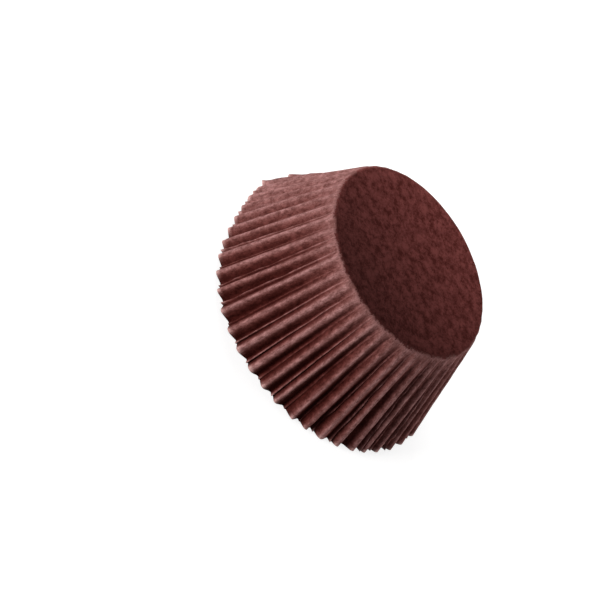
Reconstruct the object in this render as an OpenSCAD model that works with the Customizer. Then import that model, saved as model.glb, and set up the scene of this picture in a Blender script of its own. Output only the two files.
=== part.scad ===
// Pleated paper baking cup, pressed from one flat disc of greaseproof paper.
// It stands on its mouth with its closed base on top. The origin is the middle of the mouth,
// at the height of the lowest points of the rim, and +Z runs up through the base.

/* [Cup] */
// Diameter of the base, to where its plane meets the line of the wall
base_d = 50; // [36:1:70]
// How much wider the mouth is than the base, halfway through the pleats
flare = 19; // [12:1:28]
// Length of the wall along its slope, from the edge of the base to the rim
wall_len = 32.3; // [22:0.1:45]
// Radius of the round pressed into the edge of the base
edge_r = 1.2; // [0.6:0.1:2.5]
// Thickness of the paper
paper_t = 0.06; // [0.05:0.01:0.12]

/* [Pleats] */
// Number of pleats round the wall
pleats = 45; // [30:1:52]
// Share of a pleat's width that its crest takes at the foot of the wall
crest_share_foot = 0.52; // [0.42:0.01:0.58]
// Share of a pleat's width that its crest takes at the rim
crest_share_rim = 0.4; // [0.34:0.01:0.5]
// Share of a pleat's width that its valley takes
valley_share = 0.2; // [0.14:0.01:0.28]
// How far the sides of a crest fall away, as a share of the pleat's depth
crest_crown = 0.12; // [0.04:0.01:0.2]
// How far the sides of a valley rise, as a share of the pleat's depth
valley_dish = 0.06; // [0.02:0.01:0.12]

/* [Colour] */
// Colour of the dyed paper
paper_colour = "#5f3835"; // ["#5f3835":Chocolate, "#efe9dd":White, "#b98b5e":Kraft]

/* [Hidden] */

// Slope of the wall from the vertical, and the turn of the paper at the edge of the base
lean = asin(flare / 2 / wall_len);
edge_turn = 90 - lean;
edge_setback = edge_r * tan(edge_turn / 2);

// Lengths of paper, met in this order from the middle of the base out to the rim
flat_len = base_d / 2 - edge_setback;
edge_len = edge_r * edge_turn * PI / 180;
slope_len = wall_len - edge_setback;

// Rows of points down the wall: a few round the edge of the base, then the slope
edge_rows = 2;
slope_rows = 4;
rows = edge_rows + slope_rows;

// Only whole pleats close the ring
pleat_count = round(pleats);

// Points across one pleat: four on the crest, then three in the valley
crest_points = 4;
valley_points = 3;
pleat_points = crest_points + valley_points;
round_points = pleat_count * pleat_points;

// The rows crowd towards the base, where the depth of the pleats changes fastest
function slope_share(row) = pow((row - edge_rows) / slope_rows, 2);

// Length of paper between the flat of the base and a row
function row_len(row) =
    row <= edge_rows ? edge_len * row / edge_rows : edge_len + slope_len * slope_share(row);

// Turn of the paper's face from level at a row
function row_turn(row) = edge_turn * min(row / edge_rows, 1);

// Length of straight slope above a row
function row_slope(row) = max(row_len(row) - edge_len, 0);

// Radius and height of a row on the smooth cup that runs halfway through the pleats,
// with heights taken from the outer face of the base
function row_r(row) = flat_len + edge_r * sin(row_turn(row)) + row_slope(row) * sin(lean);
function row_z(row) = -edge_r * (1 - cos(row_turn(row))) - row_slope(row) * cos(lean);

// Width of one pleat at a row
function pitch(row) = 2 * PI * row_r(row) / pleat_count;

// Share of a pleat's width that its crest takes at a row: the crests narrow towards the rim
function crest_share(row) =
    crest_share_foot + (crest_share_rim - crest_share_foot) * row_len(row) / row_len(rows);

// Depth of the pleats at a row: the paper was a flat disc, so a ring of it is as long as it was
// in the disc, and what the smooth cup has no room for goes into the two flanks of each pleat
function depth(row) =
    let (
        stretch = (flat_len + row_len(row)) / row_r(row),
        flats = crest_share(row) + valley_share,
        flank = (stretch - flats) * pitch(row) / 2,
        run = (1 - flats) * pitch(row) / 2
    )
    sqrt(max(flank * flank - run * run, 0));

// One pleat as shares of its width and depth: a crowned crest, then a dished valley
function crest_point(row, i) =
    let (across = 2 * i / (crest_points - 1) - 1)
    [crest_share(row) / 2 * across, 0.5 - crest_crown * across * across];
function valley_point(i) =
    let (across = 2 * i / (valley_points - 1) - 1)
    [0.5 + valley_share / 2 * across, valley_dish * across * across - 0.5];
function pleat_point(row, i) =
    i < crest_points ? crest_point(row, i) : valley_point(i - crest_points);

// Outer face of the paper at a row, as the distance round the cup and out from its smooth wall
function outer_face(row, i) =
    let (
        turn = floor(i / pleat_points),
        point = pleat_point(row, i - turn * pleat_points)
    )
    [(turn + point[0]) * pitch(row), point[1] * depth(row)];

// Direction square to the paper between one point of the outer face and the next
function square_to(row, i) =
    let (step = outer_face(row, i + 1) - outer_face(row, i))
    [-step[1], step[0]] / norm(step);

// Inner face of the paper, one thickness behind the outer face on both sides of each fold
function inner_face(row, i) =
    let (
        before = square_to(row, i - 1),
        after = square_to(row, i)
    )
    outer_face(row, i) - paper_t * (before + after) / (1 + before * after);

// Height of the base's outer face, with the lowest points of the rim at 0
mouth_dip = (depth(rows) / 2 + paper_t) * sin(lean);
cup_h = mouth_dip - row_z(rows);

// Wraps a point of either face round the cup
function wrap(row, face) =
    let (
        angle = face[0] / row_r(row) * 180 / PI,
        r = row_r(row) + face[1] * sin(row_turn(row)),
        z = cup_h + row_z(row) + face[1] * cos(row_turn(row))
    )
    [r * cos(angle), r * sin(angle), z];

// Places in the list of points, which holds the outer face row by row and then the inner face
function outer_at(row, i) = row * round_points + i % round_points;
function inner_at(row, i) = outer_at(rows + 1 + row, i);

// Two triangles between four corners, cut along one diagonal or the other
function panel(a, b, c, d, rising) = rising ? [[a, b, d], [b, c, d]] : [[a, b, c], [a, c, d]];

// True between the middle of a valley and the middle of the next crest, where the panels are
// cut the other way, so that the two sides of a pleat mirror each other
function is_rising(i) =
    let (place = i % pleat_points)
    place < crest_points / 2 - 1 || place >= crest_points + (valley_points - 1) / 2;

// The whole liner as one closed sheet of paper
module liner() {
    points = concat(
        [for (row = [0:rows], i = [0:round_points - 1]) wrap(row, outer_face(row, i))],
        [for (row = [0:rows], i = [0:round_points - 1]) wrap(row, inner_face(row, i))]
    );
    base_faces = [
        [for (i = [round_points - 1:-1:0]) outer_at(0, i)],
        [for (i = [0:round_points - 1]) inner_at(0, i)]
    ];
    outer_faces = [
        for (row = [0:rows - 1], i = [0:round_points - 1])
            each panel(
                outer_at(row, i), outer_at(row, i + 1),
                outer_at(row + 1, i + 1), outer_at(row + 1, i), is_rising(i)
            )
    ];
    inner_faces = [
        for (row = [0:rows - 1], i = [0:round_points - 1])
            each panel(
                inner_at(row, i + 1), inner_at(row, i),
                inner_at(row + 1, i), inner_at(row + 1, i + 1), !is_rising(i)
            )
    ];
    rim_faces = [
        for (i = [0:round_points - 1])
            each panel(
                outer_at(rows, i), outer_at(rows, i + 1),
                inner_at(rows, i + 1), inner_at(rows, i), false
            )
    ];
    color(paper_colour)
        polyhedron(points, concat(base_faces, outer_faces, inner_faces, rim_faces));
}

liner();
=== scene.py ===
"""A pleated paper cupcake liner, turned over to rest on its mouth with its base on top."""
import logging
import math
import random
from dataclasses import dataclass, field
from enum import Enum
from typing import Any

import bmesh
import bpy
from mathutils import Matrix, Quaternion, Vector, noise


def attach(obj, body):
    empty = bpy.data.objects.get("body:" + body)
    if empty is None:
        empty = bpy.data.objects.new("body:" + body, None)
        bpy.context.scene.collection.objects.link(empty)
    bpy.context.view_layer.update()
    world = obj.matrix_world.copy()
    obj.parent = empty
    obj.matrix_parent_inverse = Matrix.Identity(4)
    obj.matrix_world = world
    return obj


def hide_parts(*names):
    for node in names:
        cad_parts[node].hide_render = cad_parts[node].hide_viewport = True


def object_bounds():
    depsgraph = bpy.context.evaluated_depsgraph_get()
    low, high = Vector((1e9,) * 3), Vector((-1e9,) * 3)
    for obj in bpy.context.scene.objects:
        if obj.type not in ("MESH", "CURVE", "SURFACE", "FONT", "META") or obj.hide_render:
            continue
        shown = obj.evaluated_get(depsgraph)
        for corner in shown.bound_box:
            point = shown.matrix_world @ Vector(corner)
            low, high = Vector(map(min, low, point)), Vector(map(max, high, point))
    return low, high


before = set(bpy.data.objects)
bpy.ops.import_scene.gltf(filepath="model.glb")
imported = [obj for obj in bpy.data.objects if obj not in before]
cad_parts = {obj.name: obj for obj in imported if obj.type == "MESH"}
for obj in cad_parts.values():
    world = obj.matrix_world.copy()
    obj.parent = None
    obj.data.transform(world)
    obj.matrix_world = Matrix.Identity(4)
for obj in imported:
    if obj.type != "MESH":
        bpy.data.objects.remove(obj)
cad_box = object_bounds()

MM = 0.001
FULL_TURN = 2 * math.pi
# The fall that a ring without pleats is taken to have, so that its steps can be divided by it.
LEAST_FALL = 1e-9
log = logging.getLogger("cupcake_liner")


class Slot(Enum):
    """A material slot's name, which nothing in this script uses."""

    PAPER = "paper"


class Surface(Enum):
    """Attributes that the sheet carries for its colour, one number at each point, painted light and shade
    among them.
    """

    # The crest attribute holds each point's share of painted light, from painted shade in the valleys to a
    # painted highlight on the crests.
    PAINTED_LIGHT = "crest"
    BASE = "base"
    # The cut edge attribute holds a painted highlight on the crest tips at the rim.
    CREST_TIP_HIGHLIGHT = "cut_edge"


def linear(hex_colour: str) -> tuple[float, float, float, float]:
    """Turns an sRGB colour into the linear colour that a shader takes.

    Args:
        hex_colour: The colour as "#rrggbb".

    Returns:
        Red, green, blue and an alpha of 1.
    """
    channels = [int(hex_colour[at : at + 2], 16) / 255 for at in (1, 3, 5)]
    red, green, blue = (
        c / 12.92 if c <= 0.04045 else ((c + 0.055) / 1.055) ** 2.4 for c in channels
    )
    return red, green, blue, 1.0


def add_node(
    tree: bpy.types.NodeTree, kind: str, inputs: dict[Any, Any], **settings: Any
) -> bpy.types.Node:
    """Adds a shader node, sets it up and links it.

    Args:
        tree: The node tree that gets the node.
        kind: Blender's name for the kind of node.
        inputs: A value, or the output socket to link, for each named or numbered input.
        **settings: Properties of the node itself.

    Returns:
        The new node.
    """
    node = tree.nodes.new(kind)
    for name, value in settings.items():
        setattr(node, name, value)
    for name, value in inputs.items():
        if isinstance(value, bpy.types.NodeSocket):
            tree.links.new(value, node.inputs[name])
        else:
            node.inputs[name].default_value = value
    return node


@dataclass(frozen=True)
class GreaseproofPaper:
    """Dyed greaseproof baking paper, pressed hot between ribbed dies.

    To the eye it is matt and cloudy, with dark and pale fibre of every size from a speck to a patch of
    a few millimetres. The crests are painted a paler dusty rose brown, a painted highlight, with small
    specks drawn out down the slope, while the valleys are painted a deep dark brown, a painted shade, and
    the flat base has a dye tone of its own, painted lighter towards one side as a painted sheen. The tips
    of the crests are palest, a painted highlight on the fibre of the cut edge.

    Attributes:
        crest_highlight_colour: The crests' colour: the dye with a painted highlight, paler than the dye
            itself.
        valley_shade_colour: The valleys' colour: the dye with painted shade, darker than the dye itself.
        base_colour: The dye at the middle of the base.
        base_painted_sheen: Share by which the base is painted lighter for each metre along X, Y and Z, a
            painted sheen.
        cut_fibre_and_highlight_colour: The pale fibre of the cut edge, with a painted highlight, which
            shows on the crest tips.
        roughness: How matt the paper is.
        specular: How much its surface mirrors, where a plain one has 0.5.
        patch_mm: Width of the largest cloudy patches.
        patch_detail: How many finer layers of fibre the patches have.
        patch_spread: How far the patches' noise strays from its middle.
        patch_contrast: Share by which a patch is lighter or darker, in red, green and blue.
        wall_patches: Share of that contrast which shows on the wall.
        speck_mm: Width of the largest specks, which only the wall shows.
        speck_detail: How many finer layers the specks have.
        speck_stretch: How many times longer down the wall than wide a speck is.
        speck_spread: How far the specks' noise strays from its middle.
        speck_contrast: Share by which a speck is lighter or darker, in red, green and blue.
        layer_strength: How strong each finer layer is, beside the layer before it.
        wall_r_mm: The wall's usual radius, at which the specks have their width.
        ragged: How far the fibre frays the line round the base, as a share of that line's width.
        fibre_depth_mm: How far the fibre stands up.
    """

    # The colours below carry a painted highlight on the crests and their tips, painted shade in the
    # valleys and a painted sheen across the base.
    crest_highlight_colour: str = "#8a605d"
    valley_shade_colour: str = "#32100d"
    base_colour: str = "#602f2c"
    base_painted_sheen: tuple[float, float, float] = (-16.5, 13.5, 0.0)
    cut_fibre_and_highlight_colour: str = "#c19b96"
    roughness: float = 0.8
    specular: float = 0.01
    patch_mm: float = 2.6
    patch_detail: float = 4.0
    patch_spread: float = 0.1
    patch_contrast: tuple[float, float, float] = (0.46, 0.59, 0.62)
    wall_patches: float = 0.52
    speck_mm: float = 0.5
    speck_detail: float = 2.0
    speck_stretch: float = 3.0
    speck_spread: float = 0.2
    speck_contrast: tuple[float, float, float] = (0.39, 0.45, 0.46)
    layer_strength: float = 0.9
    wall_r_mm: float = 30.0
    ragged: float = 0.34
    fibre_depth_mm: float = 0.03

    def material(self) -> bpy.types.Material:
        """Builds the paper.

        Returns:
            The material, read on Object coordinates and the sheet's own attributes.
        """
        material = bpy.data.materials.new("dyed_greaseproof_paper")
        material.use_nodes = True
        tree = material.node_tree
        shader = tree.nodes["Principled BSDF"]
        place = add_node(tree, "ShaderNodeTexCoord", {}).outputs["Object"]
        fibre = self.grain(tree, place, self.patch_mm, self.patch_spread, self.patch_detail)
        wall = self.wrapped(tree, place)
        speck = self.grain(tree, wall, self.speck_mm, self.speck_spread, self.speck_detail)
        colour = self.tone(tree, place, fibre)
        # Patches show most on the base, and specks only on the wall.
        for grain, contrast, on_wall, on_base in (
            (fibre, self.patch_contrast, self.wall_patches, 1.0),
            (speck, self.speck_contrast, 1.0, 0.0),
        ):
            share = add_node(
                tree, "ShaderNodeMapRange",
                {"Value": self.amount(tree, Surface.BASE), "To Min": on_wall, "To Max": on_base},
            ).outputs["Result"]
            shown = add_node(
                tree, "ShaderNodeMath", {0: grain, 1: share}, operation="MULTIPLY"
            ).outputs["Value"]
            shade = add_node(
                tree, "ShaderNodeVectorMath",
                {0: shown, 1: contrast, 2: (1, 1, 1)}, operation="MULTIPLY_ADD",
            ).outputs["Vector"]
            colour = add_node(
                tree, "ShaderNodeVectorMath", {0: colour, 1: shade}, operation="MULTIPLY"
            ).outputs["Vector"]
        relief = add_node(
            tree, "ShaderNodeBump",
            {"Height": fibre, "Strength": 1.0, "Distance": self.fibre_depth_mm * MM},
        ).outputs["Normal"]
        tree.links.new(colour, shader.inputs["Base Color"])
        tree.links.new(relief, shader.inputs["Normal"])
        shader.inputs["Roughness"].default_value = self.roughness
        shader.inputs["Specular IOR Level"].default_value = self.specular
        return material

    def amount(self, tree: bpy.types.NodeTree, surface: Surface) -> bpy.types.NodeSocket:
        """Reads one of the sheet's attributes."""
        return add_node(tree, "ShaderNodeAttribute", {}, attribute_name=surface.value).outputs["Fac"]

    def grain(
        self,
        tree: bpy.types.NodeTree,
        place: bpy.types.NodeSocket,
        size_mm: float,
        spread: float,
        detail: float,
    ) -> bpy.types.NodeSocket:
        """Adds a cloudy grain, whose finer layers are nearly as strong as its coarsest.

        Args:
            tree: The material's node tree.
            place: Where on the sheet a point is, in metres.
            size_mm: The width of the coarsest patches.
            spread: How far the noise strays from its middle.
            detail: How many finer layers it has.

        Returns:
            The grain's strength, from -1 to 1.
        """
        middle = 0.5
        cloud = add_node(
            tree, "ShaderNodeTexNoise",
            {
                "Vector": place,
                "Scale": 1 / (size_mm * MM),
                "Detail": detail,
                "Roughness": self.layer_strength,
            },
        ).outputs["Fac"]
        return add_node(
            tree, "ShaderNodeMapRange",
            {
                "Value": cloud,
                "From Min": middle - spread,
                "From Max": middle + spread,
                "To Min": -1.0,
                "To Max": 1.0,
            },
        ).outputs["Result"]

    def wrapped(self, tree: bpy.types.NodeTree, place: bpy.types.NodeSocket) -> bpy.types.NodeSocket:
        """Draws a place out down the wall, for specks of the same width all round it.

        Args:
            tree: The material's node tree.
            place: Where on the sheet a point is, in metres.

        Returns:
            The place on an upright wall of the usual radius, with its height made less.
        """
        level = add_node(
            tree, "ShaderNodeVectorMath", {0: place, 1: (1, 1, 0)}, operation="MULTIPLY"
        ).outputs["Vector"]
        outward = add_node(
            tree, "ShaderNodeVectorMath", {0: level}, operation="NORMALIZE"
        ).outputs["Vector"]
        upright = add_node(
            tree, "ShaderNodeVectorMath",
            {0: place, 1: (0, 0, 1 / self.speck_stretch)}, operation="MULTIPLY",
        ).outputs["Vector"]
        return add_node(
            tree, "ShaderNodeVectorMath",
            {0: outward, 1: (self.wall_r_mm * MM,) * 3, 2: upright}, operation="MULTIPLY_ADD",
        ).outputs["Vector"]

    def tone(
        self, tree: bpy.types.NodeTree, place: bpy.types.NodeSocket, fibre: bpy.types.NodeSocket
    ) -> bpy.types.NodeSocket:
        """Adds the tone: painted highlights on the crests and their tips, painted shade in the valleys.

        Each share of painted light pales the painted valley shade by the same factor, up to the crests'
        painted highlight. The base has a tone of its own, painted lighter towards one side as a painted
        sheen.

        Args:
            tree: The material's node tree.
            place: Where on the sheet a point is, in metres.
            fibre: The strength of the fibre, which frays the line round the base.

        Returns:
            The colour before its fibre shows.
        """
        frayed = add_node(
            tree, "ShaderNodeMath",
            {0: fibre, 1: self.ragged, 2: self.amount(tree, Surface.BASE)}, operation="MULTIPLY_ADD",
        ).outputs["Value"]
        base = add_node(
            tree, "ShaderNodeMapRange",
            {"Value": frayed, "From Min": self.ragged, "From Max": 1 - self.ragged},
        ).outputs["Result"]
        # The base is painted lighter towards one side, a painted sheen.
        painted_sheen = add_node(
            tree, "ShaderNodeVectorMath", {0: place, 1: self.base_painted_sheen}, operation="DOT_PRODUCT"
        ).outputs["Value"]
        level = add_node(tree, "ShaderNodeMath", {0: 1.0, 1: painted_sheen}, operation="ADD").outputs["Value"]
        base_tone = add_node(
            tree, "ShaderNodeVectorMath",
            {0: linear(self.base_colour)[:3], "Scale": level}, operation="SCALE",
        ).outputs["Vector"]
        # The valley colour is the painted shade; raised towards the crest colour it gives each point's
        # painted highlight.
        valley = linear(self.valley_shade_colour)
        light_over_shade = tuple(crest / full for crest, full in zip(linear(self.crest_highlight_colour), valley))
        painted_light = add_node(
            tree, "ShaderNodeGamma", {"Color": light_over_shade, "Gamma": self.amount(tree, Surface.PAINTED_LIGHT)}
        ).outputs["Color"]
        colour = add_node(
            tree, "ShaderNodeVectorMath", {0: painted_light, 1: valley[:3]}, operation="MULTIPLY"
        ).outputs["Vector"]
        # The crest tips at the rim take a painted highlight.
        cut = self.amount(tree, Surface.CREST_TIP_HIGHLIGHT)
        # A mix node's colours are its inputs 6 and 7 and its output 2.
        for amount, tone in ((base, base_tone), (cut, linear(self.cut_fibre_and_highlight_colour))):
            colour = add_node(
                tree, "ShaderNodeMix", {"Factor": amount, 6: colour, 7: tone}, data_type="RGBA"
            ).outputs[2]
        return colour


@dataclass(frozen=True)
class SmoothCup:
    """The cup without its pleats: the surface that runs halfway through them, in metres.

    Attributes:
        base_d: Diameter of the base, to the corner that its round edge takes off.
        flare: How much wider the mouth is than the base.
        wall_len: Length of the wall along its slope, from that corner to the rim.
        edge_r: Radius of the round at the edge of the base.
    """

    base_d: float = 50 * MM
    flare: float = 19 * MM
    wall_len: float = 32.3 * MM
    edge_r: float = 1.2 * MM

    @property
    def lean(self) -> float:
        """Slope of the wall from the vertical."""
        return math.asin(self.flare / 2 / self.wall_len)

    @property
    def edge_turn(self) -> float:
        """Turn of the paper at the edge of the base."""
        return math.pi / 2 - self.lean

    @property
    def setback(self) -> float:
        """How far the round at the edge starts from the corner that it rounds."""
        return self.edge_r * math.tan(self.edge_turn / 2)

    @property
    def flat_len(self) -> float:
        """Radius of the base's flat."""
        return self.base_d / 2 - self.setback

    @property
    def edge_len(self) -> float:
        """Length of paper in the round."""
        return self.edge_r * self.edge_turn

    @property
    def rim_len(self) -> float:
        """Length of paper from the middle of the base to the rim, which is the flat disc's radius."""
        return self.flat_len + self.edge_len + self.wall_len - self.setback

    def spot(self, length: float) -> tuple[float, float, float]:
        """Finds a point of the smooth cup.

        Args:
            length: Length of paper from the middle of the base.

        Returns:
            The radius, the drop below the base's outer face and the turn of the paper from level.
        """
        past_flat = max(length - self.flat_len, 0)
        turn = self.edge_turn * min(past_flat / self.edge_len, 1)
        slope = max(past_flat - self.edge_len, 0)
        radius = min(length, self.flat_len) + self.edge_r * math.sin(turn) + slope * math.sin(self.lean)
        drop = self.edge_r * (1 - math.cos(turn)) + slope * math.cos(self.lean)
        return radius, drop, turn


def ease(share: float) -> float:
    """Rises from 0 to 1, fastest at the start and level at the end."""
    part = min(max(share, 0.0), 1.0)
    return part * (2 - part)


@dataclass(frozen=True)
class Ridge:
    """The middle line of one crest or valley, as the die and handling leave it.

    Attributes:
        foot_shift: How far it is aside at the foot of the wall, as a share of a pleat's width.
        rim_shift: The same at the rim.
        height: Its height beside a usual one's.
        width: The width of its round beside a usual one's.
    """

    foot_shift: float
    rim_shift: float
    height: float
    width: float

    def shift(self, down: float) -> float:
        """Finds how far the line is aside at a share of the way down the wall."""
        return self.foot_shift + (self.rim_shift - self.foot_shift) * down


@dataclass(frozen=True)
class Unevenness:
    """How far the crests, valleys and tucks stray from usual ones, as the spread of each random draw.

    Attributes:
        foot_shift: How far one is aside at the foot of the wall, as a share of a pleat's width.
        rim_shift: The same at the rim.
        height: Share by which one is higher or lower.
        width: Share by which its round is wider or narrower.
        width_range: The narrowest and widest round, beside a usual one.
        tuck: Share by which a tuck is higher or lower.
    """

    foot_shift: float = 0.03
    rim_shift: float = 0.06
    height: float = 0.09
    width: float = 0.22
    width_range: tuple[float, float] = (0.6, 1.5)
    tuck: float = 0.35

    def ridge(self, chance: random.Random) -> Ridge:
        """Draws one crest or valley.

        Args:
            chance: The source of random numbers.

        Returns:
            The crest or valley.
        """
        narrowest, widest = self.width_range
        return Ridge(
            foot_shift=chance.gauss(0, self.foot_shift),
            rim_shift=chance.gauss(0, self.rim_shift),
            height=chance.gauss(1, self.height),
            width=min(max(chance.gauss(1, self.width), narrowest), widest),
        )


@dataclass(frozen=True)
class Tuck:
    """The small secondary ridge beside most valleys, where the die gathers spare paper.

    Attributes:
        place: Where it runs, as a share of the way from the crest down to the valley.
        spread: How far it reaches to either side, in the same shares.
        height: Its usual height at the rim.
        paper: Share of the paper at the rim that the tucks take up.
        top_highlight: How much painted highlight its top gets, beside a crest's.
        wander: How far it wanders to either side on its way down the wall.
        waves: How far down the wall goes through the noise that it wanders by.
        apart: How far apart in that noise the half pleats are.
    """

    place: float = 0.9
    spread: float = 0.09
    height: float = 1.1 * MM
    paper: float = 0.14
    top_highlight: float = 0.9
    wander: float = 0.09
    waves: float = 5.0
    apart: float = 0.37

    def rise(self, half: int, along: float, down: float) -> float:
        """Finds how much of its height the tuck has at a place.

        Args:
            half: The number of the half pleat that the tuck lies in.
            along: Share of the way from the crest to the valley.
            down: Share of the way down the wall.

        Returns:
            A share, from 0 to 1.
        """
        wander = noise.noise(Vector((self.apart * half, down * self.waves, 0)))
        off_line = along - self.place - self.wander * wander
        return (1 - abs(wander)) * math.exp(-((off_line / self.spread) ** 2))


@dataclass(frozen=True)
class Handled:
    """A place round the wall that handling has changed.

    Attributes:
        azimuth: Degrees round the liner, with 0 towards +X and 90 towards +Y.
        spread: How many degrees it reaches to either side.
        amount: How much is changed at its middle.
    """

    azimuth: float
    spread: float
    amount: float

    def reach(self, angle: float) -> float:
        """Finds how much is changed at an angle in radians."""
        gap = math.remainder(angle - math.radians(self.azimuth), FULL_TURN)
        return self.amount * math.exp(-0.5 * (gap / math.radians(self.spread)) ** 2)


@dataclass(frozen=True)
class Row:
    """One ring of the sheet: its place on the smooth cup and the bend of each half pleat in it.

    Attributes:
        length: Length of paper from the middle of the base.
        radius: Radius of the smooth cup there.
        drop: Drop below the outer face of the base.
        turn: Turn of the paper from level.
        down: Share of the way from the flat of the base to the rim.
        depth: Depth of a usual pleat.
        bends: The way across and down each half pleat, both from 0 to 1, at each of its steps.
    """

    length: float
    radius: float
    drop: float
    turn: float
    down: float
    depth: float
    bends: list[list[tuple[float, float]]]


@dataclass
class PressedLiner:
    """The one sheet of paper: a flat disc that is pressed over the smooth cup into pleats.

    Attributes:
        cup: The smooth cup, without the pleats.
        paper: The paper's finish.
        tuck: The secondary ridges.
        unevenness: How far the pleats differ.
        seed: The seed that their differences are drawn from.
        paper_t: Thickness of the paper.
        pleats: Number of pleats round the wall.
        half_steps: Number of steps across half a pleat.
        base_rows: Number of rings on the flat of the base.
        edge_rows: Number of rings in the round at its edge.
        slope_rows: Number of rings on the slope, before the one at the rim.
        slope_gather: Power above 1 that gathers the slope's rings towards the base.
        crest_part: Share of half a pleat's paper in the round of a crest, at the foot and the rim.
        valley_part: The same share for a valley.
        steepest: The steepest slope that a flank can have.
        halvings: How often the range of slopes is halved to find a flank's own.
        full_shade_depth: Depth of the pleats from which their valleys take their full painted shade.
        shade_depth_power: Power above 1 that makes the painted shade lighter still in shallow valleys.
        highlight_power: Power above 1 that keeps the painted highlight close to the tops of the crests.
        base_sag: How far the middle of the base hangs down.
        cut_edge: Width of the band along the rim over which the crest tips' painted highlight fades in.
        tip_highlight_power: Power above 1 that keeps the painted highlight at the rim to the tips of the
            crests.
        crumple: How far the crumpled paper strays from smooth.
        crumple_size: Width of one crumple.
        rim_aside: How far the rim as a whole stands aside from the base.
        push_power: Power above 1 by which the pushes grow from the base to the rim.
        pushes: Where the rim is pushed out, or in where the amount is below 0.
        flattened: Where the pleats are flattened, and the share of their depth lost at the rim, by which
            their painted valley shade is lighter too.
        valley_shade_lifted: Where the valleys' painted shade is lighter, and the share of it taken away.
    """

    cup: SmoothCup = field(default_factory=SmoothCup)
    paper: GreaseproofPaper = field(default_factory=GreaseproofPaper)
    tuck: Tuck = field(default_factory=Tuck)
    unevenness: Unevenness = field(default_factory=Unevenness)
    seed: int = 45
    paper_t: float = 0.06 * MM
    pleats: int = 45
    half_steps: int = 16
    base_rows: int = 4
    edge_rows: int = 4
    slope_rows: int = 22
    slope_gather: float = 1.25
    crest_part: tuple[float, float] = (0.5, 0.33)
    valley_part: tuple[float, float] = (0.36, 0.36)
    steepest: float = math.radians(84)
    halvings: int = 18
    # The next fields shape the painted shade in the valleys and the painted highlights on crests and crest
    # tips.
    full_shade_depth: float = 1.6 * MM
    shade_depth_power: float = 1.1
    highlight_power: float = 1.9
    base_sag: float = 0.35 * MM
    cut_edge: float = 1.2 * MM
    tip_highlight_power: float = 3.0
    crumple: float = 0.09 * MM
    crumple_size: float = 4.5 * MM
    rim_aside: Vector = field(default_factory=lambda: Vector((0.39, 1.57, 0)) * MM)
    push_power: float = 1.5
    pushes: tuple[Handled, ...] = (
        Handled(187, 18, 2.5 * MM),
        Handled(240, 16, -1.67 * MM),
        Handled(290, 18, 1.52 * MM),
        Handled(337, 20, 0.48 * MM),
        Handled(50, 20, 1.06 * MM),
    )
    flattened: tuple[Handled, ...] = (Handled(24, 20, 0.4), Handled(209, 24, 0.82))
    # This lifts the painted shade in the valleys round one stretch of the wall.
    valley_shade_lifted: Handled = Handled(224, 32, 0.5)

    def __post_init__(self) -> None:
        """Draws the unevenness of the pleats from the seed."""
        chance = random.Random(self.seed)
        self.halves = 2 * self.pleats
        self.ridges = [self.unevenness.ridge(chance) for _ in range(self.halves)]
        self.tuck_heights = [
            self.tuck.height * max(chance.gauss(1, self.unevenness.tuck), 0) if half % 2 else 0.0
            for half in range(self.halves)
        ]

    @property
    def height(self) -> float:
        """Height of the base's outer face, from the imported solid."""
        return cad_box[1].z

    @property
    def segments(self) -> int:
        """Number of points round the sheet."""
        return self.halves * self.half_steps

    def row_lengths(self) -> list[float]:
        """Lists the rings of points on the flat disc.

        Returns:
            The length of paper from its middle to each ring, outwards to the rim.
        """
        cup = self.cup
        base = [cup.flat_len * math.sqrt(row / self.base_rows) for row in range(1, self.base_rows + 1)]
        edge = [cup.flat_len + cup.edge_len * row / self.edge_rows for row in range(1, self.edge_rows + 1)]
        slope_len = cup.rim_len - self.cut_edge - edge[-1]
        slope = [
            edge[-1] + slope_len * (row / self.slope_rows) ** self.slope_gather
            for row in range(1, self.slope_rows + 1)
        ]
        return base + edge + slope + [cup.rim_len]

    def bend(
        self, crest_part: float, valley_part: float, stretch: float
    ) -> tuple[list[tuple[float, float]], float]:
        """Bends the paper of half a pleat, which is longer than the place it has on the cup.

        The paper leaves the crest level, is steepest on the flank and lands level in the valley. Its
        steepest slope is the one at which its whole length fits.

        Args:
            crest_part: Share of the half pleat's paper that turns from the crest into the flank.
            valley_part: Share of it that turns from the flank into the valley.
            stretch: Length of the paper over the width that it has to fit.

        Returns:
            The way across and down at each step, both from 0 to 1, and the depth over the width.
        """
        middles = [(step + 0.5) / self.half_steps for step in range(self.half_steps)]
        turns = [ease(at / crest_part) * ease((1 - at) / valley_part) for at in middles]
        flatter, steeper = 0.0, self.steepest
        for _ in range(self.halvings):
            slope = (flatter + steeper) / 2
            if sum(math.cos(slope * turn) for turn in turns) * stretch > self.half_steps:
                flatter = slope
            else:
                steeper = slope
        across, fall = [0.0], [0.0]
        for turn in turns:
            across.append(across[-1] + math.cos(slope * turn))
            fall.append(fall[-1] + math.sin(slope * turn))
        width, depth = across[-1], max(fall[-1], LEAST_FALL)
        return [(a / width, f / depth) for a, f in zip(across, fall)], depth / width

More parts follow.
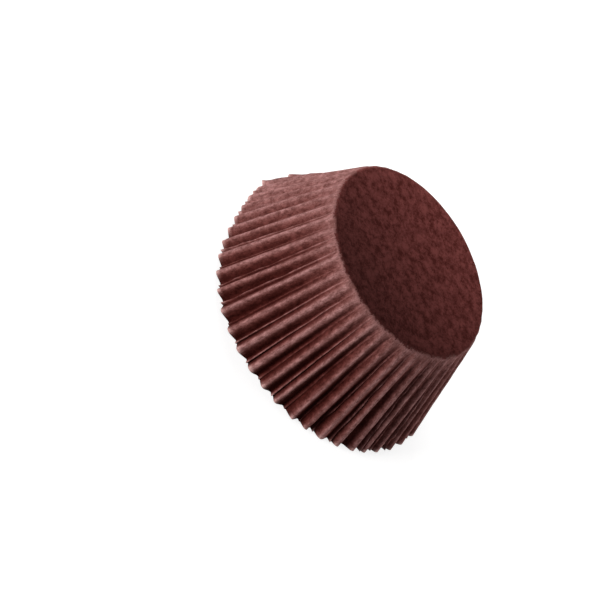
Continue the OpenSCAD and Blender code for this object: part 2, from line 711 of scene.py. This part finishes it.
    def row(self, length: float) -> Row:
        """Works out one ring of the sheet.

        Args:
            length: Length of paper from the middle of the base.

        Returns:
            The ring, with the bend of each half pleat in it.
        """
        cup = self.cup
        radius, drop, turn = cup.spot(length)
        down = max(length - cup.flat_len, 0) / (cup.rim_len - cup.flat_len)
        crest_part, valley_part = (
            foot + (rim - foot) * down for foot, rim in (self.crest_part, self.valley_part)
        )
        stretch = max(length / radius * (1 - self.tuck.paper * down), 1.0)
        depth = self.bend(crest_part, valley_part, stretch)[1] * math.pi * radius / self.pleats
        bends = []
        for half in range(self.halves):
            start, end = self.ridges[half], self.ridges[(half + 1) % self.halves]
            crest, valley = (start, end) if half % 2 == 0 else (end, start)
            width = 1 + 2 * (end.shift(down) - start.shift(down))
            points, _ = self.bend(
                crest_part * crest.width, valley_part * valley.width, max(stretch / width, 1.0)
            )
            bends.append(points)
        return Row(length, radius, drop, turn, down, depth, bends)

    def section(self, row: Row, count: int) -> tuple[float, float]:
        """Finds a point on the pleats of one ring.

        Args:
            row: The ring.
            count: The point's number round the ring.

        Returns:
            The angle round the cup, and the height on the pleat from -0.5 in a usual valley to 0.5 on
            a usual crest.
        """
        half, step = divmod(count % self.segments, self.half_steps)
        start, end = self.ridges[half], self.ridges[(half + 1) % self.halves]
        if half % 2 == 0:
            across, fall = row.bends[half][step]
            up = 0.5 * start.height - fall * 0.5 * (start.height + end.height)
        else:
            across, fall = row.bends[half][self.half_steps - step]
            across = 1 - across
            up = 0.5 * end.height - fall * 0.5 * (start.height + end.height)
        begin = half / 2 + start.shift(row.down)
        finish = (half + 1) / 2 + end.shift(row.down)
        angle = (begin + (finish - begin) * across) * FULL_TURN / self.pleats
        return angle, up

    def press(self, row: Row, count: int) -> tuple[Vector, float]:
        """Presses one point of the flat disc into its place on the cup.

        Args:
            row: The ring that the point lies on.
            count: The point's number round the ring.

        Returns:
            Its place on the outer face of the liner, and its share of painted light, from 0 to 1.
        """
        angle, up = self.section(row, count)
        tuck = self.tucked(row, count)
        flat_share = sum(place.reach(angle) for place in self.flattened)
        depth = row.depth * (1 - row.down * flat_share)
        out = (up - 0.5) * depth + 0.5 * row.depth + tuck * row.down + self.crumpled(row, count)
        push = sum(place.reach(angle) for place in self.pushes) * row.down**self.push_power
        sag = self.base_sag * (1 - min(row.length / self.cup.flat_len, 1) ** 2) ** 2
        r = row.radius + out * math.sin(row.turn) + push
        z = self.height - row.drop + out * math.cos(row.turn) - sag
        point = Vector((r * math.cos(angle), r * math.sin(angle), z)) + self.rim_aside * row.down
        # The painted valley shade is lighter where the pleats are flattened and round one stretch of the
        # wall.
        shade_kept = (1 - flat_share) * (1 - self.valley_shade_lifted.reach(angle))
        return point, self.painted_light(up, tuck, depth, shade_kept)

    def tucked(self, row: Row, count: int) -> float:
        """Finds the height of the tuck at a point, before it fades out towards the base.

        Args:
            row: The ring that the point lies on.
            count: The point's number round the ring.

        Returns:
            The height, which is 0 on the half pleats that have no tuck.
        """
        half, step = divmod(count % self.segments, self.half_steps)
        along = step / self.half_steps if half % 2 == 0 else 1 - step / self.half_steps
        return self.tuck_heights[half] * self.tuck.rise(half, along, row.down)

    def crumpled(self, row: Row, count: int) -> float:
        """Finds how far the crumpled paper stands out at a point, by its place on the flat disc.

        Args:
            row: The ring that the point lies on.
            count: The point's number round the ring.

        Returns:
            The distance, which is below 0 where the paper stands in.
        """
        around = FULL_TURN * count / self.segments
        spot = Vector((math.cos(around), math.sin(around), 0)) * (row.length / self.crumple_size)
        return noise.noise(spot) * self.crumple

    def painted_light(self, up: float, tuck: float, depth: float, shade_kept: float) -> float:
        """Finds a point's share of painted light: a painted highlight on crests and tucks, and painted
        shade in the valleys, lighter in shallow pleats.

        Args:
            up: The height on the pleat, from -0.5 in a usual valley to 0.5 on a usual crest.
            tuck: The height of the tuck there.
            depth: The depth of the pleat there.
            shade_kept: Share of the valleys' painted shade that is left at this place.

        Returns:
            The share, from 0 for full painted valley shade to 1 for a crest's painted highlight.
        """
        # Painted highlight on the crests and tuck tops; painted shade in the valleys, full only in deep
        # pleats.
        crest = min(max(0.5 + up, 0), 1) ** self.highlight_power
        lit_top = max(crest, self.tuck.top_highlight * min(tuck / self.tuck.height, 1))
        valley_shade = min(depth / self.full_shade_depth, 1) ** self.shade_depth_power * shade_kept
        return 1 - (1 - lit_top) * valley_shade

    def sheet(self) -> bmesh.types.BMesh:
        """Cuts the flat disc ring by ring and presses each ring as it comes.

        Returns:
            The outer face of the liner, open at the rim.
        """
        sheet = bmesh.new()
        layers = {surface: sheet.verts.layers.float.new(surface.value) for surface in Surface}
        rows = [self.row(length) for length in self.row_lengths()]
        bmesh.ops.create_circle(
            sheet, cap_ends=True, cap_tris=True, segments=self.segments, radius=rows[0].length
        )
        sheet.verts.ensure_lookup_table()
        middle = min(sheet.verts, key=lambda vert: vert.co.length)
        middle.co.z = self.height - self.base_sag
        middle[layers[Surface.BASE]] = 1.0
        ring = {
            vert: round(math.atan2(vert.co.y, vert.co.x) / FULL_TURN * self.segments)
            for vert in sheet.verts
            if vert is not middle
        }
        for row in rows:
            if row is not rows[0]:
                ring = grow_ring(sheet, ring)
            base = min(max(1 - (row.length - self.cup.flat_len) / self.cup.edge_len, 0.0), 1.0)
            for vert, count in ring.items():
                # Each point takes its share of painted light, from painted valley shade to a crest's
                # painted highlight.
                vert.co, crest = self.press(row, count)
                vert[layers[Surface.PAINTED_LIGHT]] = crest
                vert[layers[Surface.BASE]] = base
                # The crest tips at the rim take a painted highlight.
                vert[layers[Surface.CREST_TIP_HIGHLIGHT]] = crest**self.tip_highlight_power if row is rows[-1] else 0.0
        bmesh.ops.recalc_face_normals(sheet, faces=sheet.faces)
        if middle.link_faces[0].normal.z < 0:
            bmesh.ops.reverse_faces(sheet, faces=sheet.faces)
        return sheet

    def build(self) -> bpy.types.Object:
        """Presses the sheet, gives it its thickness and dresses it.

        Returns:
            The finished liner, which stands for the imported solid.
        """
        sheet = self.sheet()
        for edge in sheet.edges:
            edge.smooth = not edge.is_boundary
        for face in sheet.faces:
            face.smooth = True
        mesh = bpy.data.meshes.new("pressed_liner")
        sheet.to_mesh(mesh)
        sheet.free()
        liner = bpy.data.objects.new("pressed_liner", mesh)
        bpy.context.scene.collection.objects.link(liner)
        mesh.materials.append(self.paper.material())
        thickness = liner.modifiers.new("paper_thickness", "SOLIDIFY")
        thickness.thickness = self.paper_t
        thickness.offset = -1
        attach(liner, "root")
        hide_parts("liner")
        return liner


def grow_ring(
    sheet: bmesh.types.BMesh, ring: dict[bmesh.types.BMVert, int]
) -> dict[bmesh.types.BMVert, int]:
    """Grows a new ring out of the one at the sheet's open edge.

    Args:
        sheet: The sheet.
        ring: The ring at its open edge, each vertex with its number round the ring.

    Returns:
        The new ring, its vertices numbered as the ones that they grew from.
    """
    edges = [edge for edge in sheet.edges if edge.is_boundary]
    grown = bmesh.ops.extrude_edge_only(sheet, edges=edges)["geom"]
    return {
        vert: next(ring[other] for other in neighbours(vert) if other in ring)
        for vert in grown
        if isinstance(vert, bmesh.types.BMVert)
    }


def neighbours(vert: bmesh.types.BMVert) -> list[bmesh.types.BMVert]:
    """Lists the vertices that an edge joins to this one."""
    return [edge.other_vert(vert) for edge in vert.link_edges]


@dataclass(frozen=True)
class PhotographCamera:
    """The photograph's camera: a long lens that looks down on the base, turned about its own axis.

    Attributes:
        azimuth: Degrees round the liner, with 0 towards -Y and 90 towards +X.
        elevation: Degrees above the floor.
        roll: Degrees by which it is turned about its own axis.
        distance: How far it is from the middle of the mouth.
        lens: Focal length in millimetres, on the usual 36 mm wide sensor.
        clip_start: Nearest distance that it sees.
        mouth_right: How far right of the picture's middle the middle of the mouth lies.
        mouth_up: How far above the picture's middle it lies.
    """

    azimuth: float = 39.8
    elevation: float = 37.39
    roll: float = 59.57
    distance: float = 611 * MM
    lens: float = 150.0
    clip_start: float = 10 * MM
    mouth_right: float = 4.88 * MM
    mouth_up: float = -3.26 * MM

    def build(self) -> bpy.types.Object:
        """Places the camera and makes it the scene's.

        Returns:
            The camera.
        """
        camera = bpy.data.objects.new("photograph_camera", bpy.data.cameras.new("photograph_camera"))
        camera.data.lens = self.lens
        camera.data.clip_start = self.clip_start
        back = direction(self.azimuth, self.elevation)
        turn = back.to_track_quat("Z", "Y") @ Quaternion((0, 0, 1), math.radians(self.roll))
        aside = turn @ Vector((self.mouth_right, self.mouth_up, 0))
        camera.rotation_mode = "QUATERNION"
        camera.rotation_quaternion = turn
        camera.location = back * self.distance - aside
        bpy.context.scene.collection.objects.link(camera)
        bpy.context.scene.camera = camera
        return camera


@dataclass(frozen=True)
class Lamp:
    """A soft lamp that faces the liner.

    Attributes:
        name: The lamp's name.
        azimuth: Degrees round the liner, with 0 towards -Y and 90 towards +X.
        elevation: Degrees above the floor.
        level: How brightly it lights what faces it, with 1 for about the colour as it is written.
        size: Width and height in metres.
        distance: How far it is from the middle of the mouth.
    """

    name: str
    azimuth: float
    elevation: float
    level: float
    size: tuple[float, float]
    distance: float = 0.8

    def build(self) -> bpy.types.Object:
        """Places the lamp, with the power that gives its level at its distance.

        Returns:
            The lamp.
        """
        light = bpy.data.lights.new(self.name, "AREA")
        light.shape = "RECTANGLE"
        light.size, light.size_y = self.size
        light.energy = self.level * (math.pi * self.distance) ** 2
        lamp = bpy.data.objects.new(self.name, light)
        back = direction(self.azimuth, self.elevation)
        lamp.rotation_mode = "QUATERNION"
        lamp.rotation_quaternion = back.to_track_quat("Z", "Y")
        lamp.location = back * self.distance
        lamp.visible_camera = False
        bpy.context.scene.collection.objects.link(lamp)
        return lamp


def direction(azimuth: float, elevation: float) -> Vector:
    """Points from the liner towards a camera or lamp.

    Args:
        azimuth: Degrees round the liner, with 0 towards -Y and 90 towards +X.
        elevation: Degrees above the floor.

    Returns:
        The direction, of length 1.
    """
    around, above = math.radians(azimuth), math.radians(elevation)
    return Vector(
        (math.sin(around) * math.cos(above), -math.cos(around) * math.cos(above), math.sin(above))
    )


@dataclass(frozen=True)
class Studio:
    """A white floor and a soft room, with a low key lamp and three fills round the sides.

    Attributes:
        camera: The camera, whose azimuth the lamps are placed by.
        floor_size: Width of the floor.
        room_level: How much light the room itself gives.
        floor_grey: How much light the floor throws back.
        floor_glow: How brightly the floor glows to the eye near the liner, so that its shadow shows.
        shadow_reach: Distance from the liner's middle up to which it glows no more than that.
        white_from: Distance from which it glows white.
    """

    camera: PhotographCamera
    floor_size: float = 6.0
    room_level: float = 0.12
    floor_grey: float = 0.55
    floor_glow: float = 0.78
    shadow_reach: float = 0.1
    white_from: float = 0.3

    def lamps(self) -> tuple[Lamp, ...]:
        """Lists the lamps, placed by the camera's azimuth.

        Returns:
            The key lamp, then the fills.
        """
        front = self.camera.azimuth
        return (
            Lamp("low_key", front - 31, elevation=12, level=1.04, size=(0.3, 0.2)),
            Lamp("left_fill", front - 133, elevation=16, level=0.82, size=(0.2, 0.15), distance=0.28),
            Lamp("right_fill", front + 118, elevation=10, level=0.5, size=(0.3, 0.2)),
            Lamp("back_fill", front + 190, elevation=24, level=0.3, size=(0.25, 0.15), distance=0.3),
        )

    def build(self) -> None:
        """Builds the room, the floor and the lamps."""
        self.room()
        self.floor()
        for lamp in self.lamps():
            lamp.build()

    def seen(self, tree: bpy.types.NodeTree) -> bpy.types.NodeSocket:
        """Adds a switch for what is only looked at and doesn't light the liner.

        Args:
            tree: The node tree of the floor or the room.

        Returns:
            1 where the camera, a mirror or a glass sees it, and otherwise 0.
        """
        path = add_node(tree, "ShaderNodeLightPath", {})
        mirrored = add_node(
            tree, "ShaderNodeMath",
            {0: path.outputs["Is Camera Ray"], 1: path.outputs["Is Glossy Ray"]}, operation="MAXIMUM",
        )
        return add_node(
            tree, "ShaderNodeMath",
            {0: mirrored.outputs["Value"], 1: path.outputs["Is Transmission Ray"]}, operation="MAXIMUM",
        ).outputs["Value"]

    def room(self) -> None:
        """Makes the world white to look at and soft as a light."""
        world = bpy.data.worlds.new("studio_room")
        bpy.context.scene.world = world
        world.use_nodes = True
        tree = world.node_tree
        level = add_node(
            tree, "ShaderNodeMapRange",
            {"Value": self.seen(tree), "To Min": self.room_level, "To Max": 1.0},
        ).outputs["Result"]
        tree.links.new(level, tree.nodes["Background"].inputs["Strength"])
        tree.nodes["Background"].inputs["Color"].default_value = (1, 1, 1, 1)

    def floor(self) -> None:
        """Makes the floor: it glows white to look at, less of it near the liner to keep its shadow."""
        sheet = bmesh.new()
        bmesh.ops.create_grid(sheet, x_segments=1, y_segments=1, size=self.floor_size / 2)
        mesh = bpy.data.meshes.new("studio_floor")
        sheet.to_mesh(mesh)
        sheet.free()
        floor = bpy.data.objects.new("studio_floor", mesh)
        bpy.context.scene.collection.objects.link(floor)
        material = bpy.data.materials.new("matt_white_floor")
        material.use_nodes = True
        tree = material.node_tree
        shader = tree.nodes["Principled BSDF"]
        shader.inputs["Base Color"].default_value = (self.floor_grey,) * 3 + (1,)
        shader.inputs["Roughness"].default_value = 1.0
        shader.inputs["Specular IOR Level"].default_value = 0.0
        place = add_node(tree, "ShaderNodeTexCoord", {}).outputs["Object"]
        away = add_node(tree, "ShaderNodeVectorMath", {0: place}, operation="LENGTH").outputs["Value"]
        level = add_node(
            tree, "ShaderNodeMapRange",
            {
                "Value": away,
                "From Min": self.shadow_reach,
                "From Max": self.white_from,
                "To Min": self.floor_glow,
                "To Max": 1.0,
            },
        ).outputs["Result"]
        glow = add_node(
            tree, "ShaderNodeMath", {0: self.seen(tree), 1: level}, operation="MULTIPLY"
        ).outputs["Value"]
        shader.inputs["Emission Color"].default_value = (1, 1, 1, 1)
        tree.links.new(glow, shader.inputs["Emission Strength"])
        mesh.materials.append(material)


def main() -> None:
    """Builds the liner, the camera and the studio, in that order."""
    logging.basicConfig(level=logging.INFO, format="%(name)s: %(message)s")
    bpy.context.scene.view_settings.view_transform = "Standard"
    liner = PressedLiner().build()
    log.info("%s: %d faces before its thickness", liner.name, len(liner.data.polygons))
    camera = PhotographCamera()
    camera.build()
    log.info("camera: azimuth %.1f, elevation %.1f", camera.azimuth, camera.elevation)
    Studio(camera).build()
    log.info("studio: floor, room and lamps")


if __name__ == "__main__":
    main()
